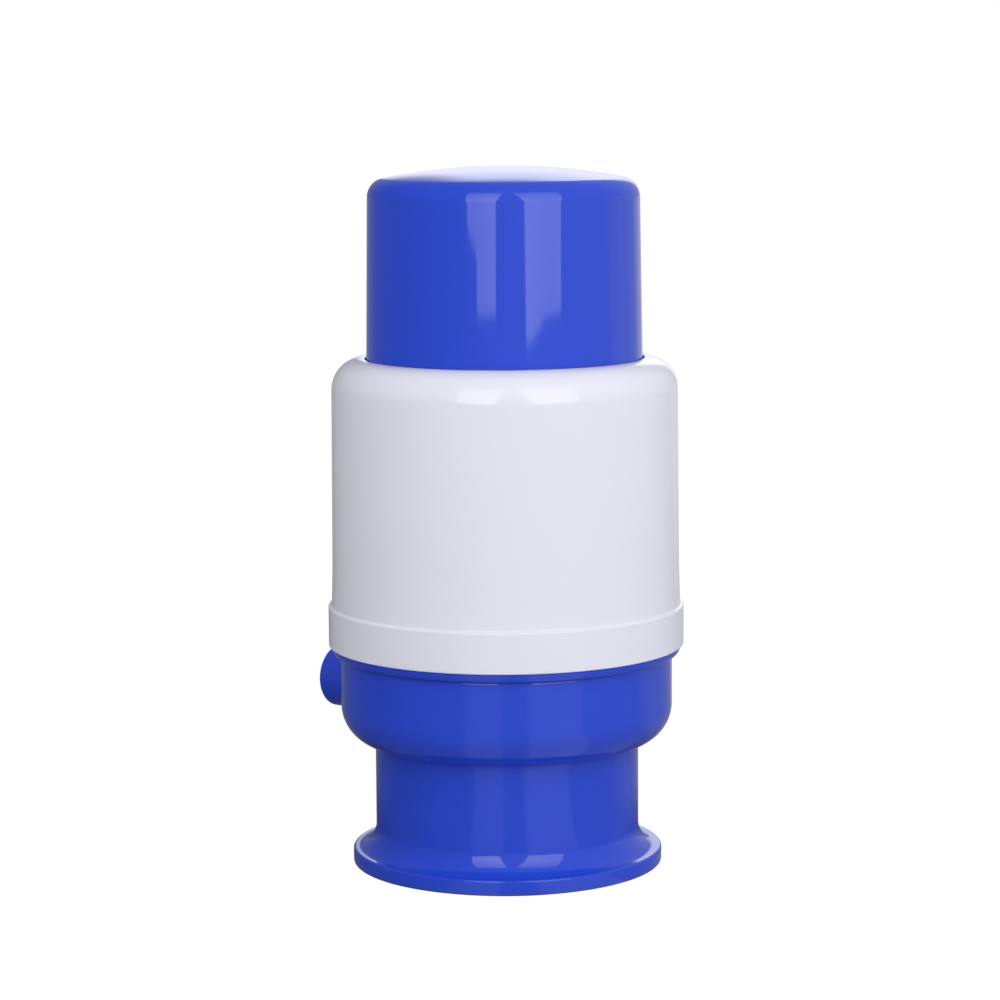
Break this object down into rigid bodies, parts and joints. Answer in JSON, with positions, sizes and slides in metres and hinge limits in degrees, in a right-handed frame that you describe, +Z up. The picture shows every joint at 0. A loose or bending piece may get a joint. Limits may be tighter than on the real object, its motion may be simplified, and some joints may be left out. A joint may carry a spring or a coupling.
{
  "type": "water jug hand pump",
  "caption": "Hand pump for a water jug: a press cap on a sprung bellows in a round shell, over a flanged neck skirt with a side spout socket and a dip tube nipple.",
  "frame": {"origin": "on the pump's axis, in the plane of the flange's underside, at the mouth of the neck skirt", "axes": "+Z up along the pump's axis from the flange to the press cap, -X along the spout socket and out of its mouth, +Y to the right when looking along -X from the pump's axis"},
  "size_m": [0.1034, 0.0918, 0.18],
  "materials": {
    "blue_moulding": "polished moulded plastic",
    "white_moulding": "polished moulded plastic",
    "inner_white": "plain moulded plastic",
    "natural_plastic": "waxy natural plastic",
    "silicone": "translucent silicone, drawn opaque",
    "bellows_plastic": "soft blow-moulded plastic",
    "steel": "stainless steel"
  },
  "bodies": {
    "pump_body": {"base_housing": "blue_moulding", "neck_grip": "natural_plastic", "neck_gasket": "silicone", "spout_seal": "silicone", "valve_plate": "inner_white", "plate_seal": "silicone", "bellows": "bellows_plastic", "clamp_ring": "inner_white", "clamp_ring_screws": "steel", "return_spring": "steel", "body_shell": "white_moulding"},
    "press_button": {"press_cap": "blue_moulding", "press_plate": "inner_white", "press_plate_screws": "steel"},
    "intake_flap": {"intake_valve": "silicone"},
    "outlet_flap": {"outlet_valve": "silicone"}
  },
  "joints": [
    {"name": "cap_press", "type": "slide", "parent": "pump_body", "child": "press_button", "axis": [0, 0, -1], "range_m": [0, 0.04], "stiffness_N_per_m": 300, "springref_m": -0.03, "deforming": ["bellows", "return_spring"]},
    {"name": "intake_lift", "type": "slide", "parent": "press_button", "child": "intake_flap", "axis": [0, 0, -1], "range_m": [0, 0.0012], "stiffness_N_per_m": 150, "springref_m": -0.0005},
    {"name": "outlet_lift", "type": "slide", "parent": "pump_body", "child": "outlet_flap", "axis": [0, 0, -1], "range_m": [0, 0.0012], "stiffness_N_per_m": 150, "springref_m": -0.0005}
  ]
}
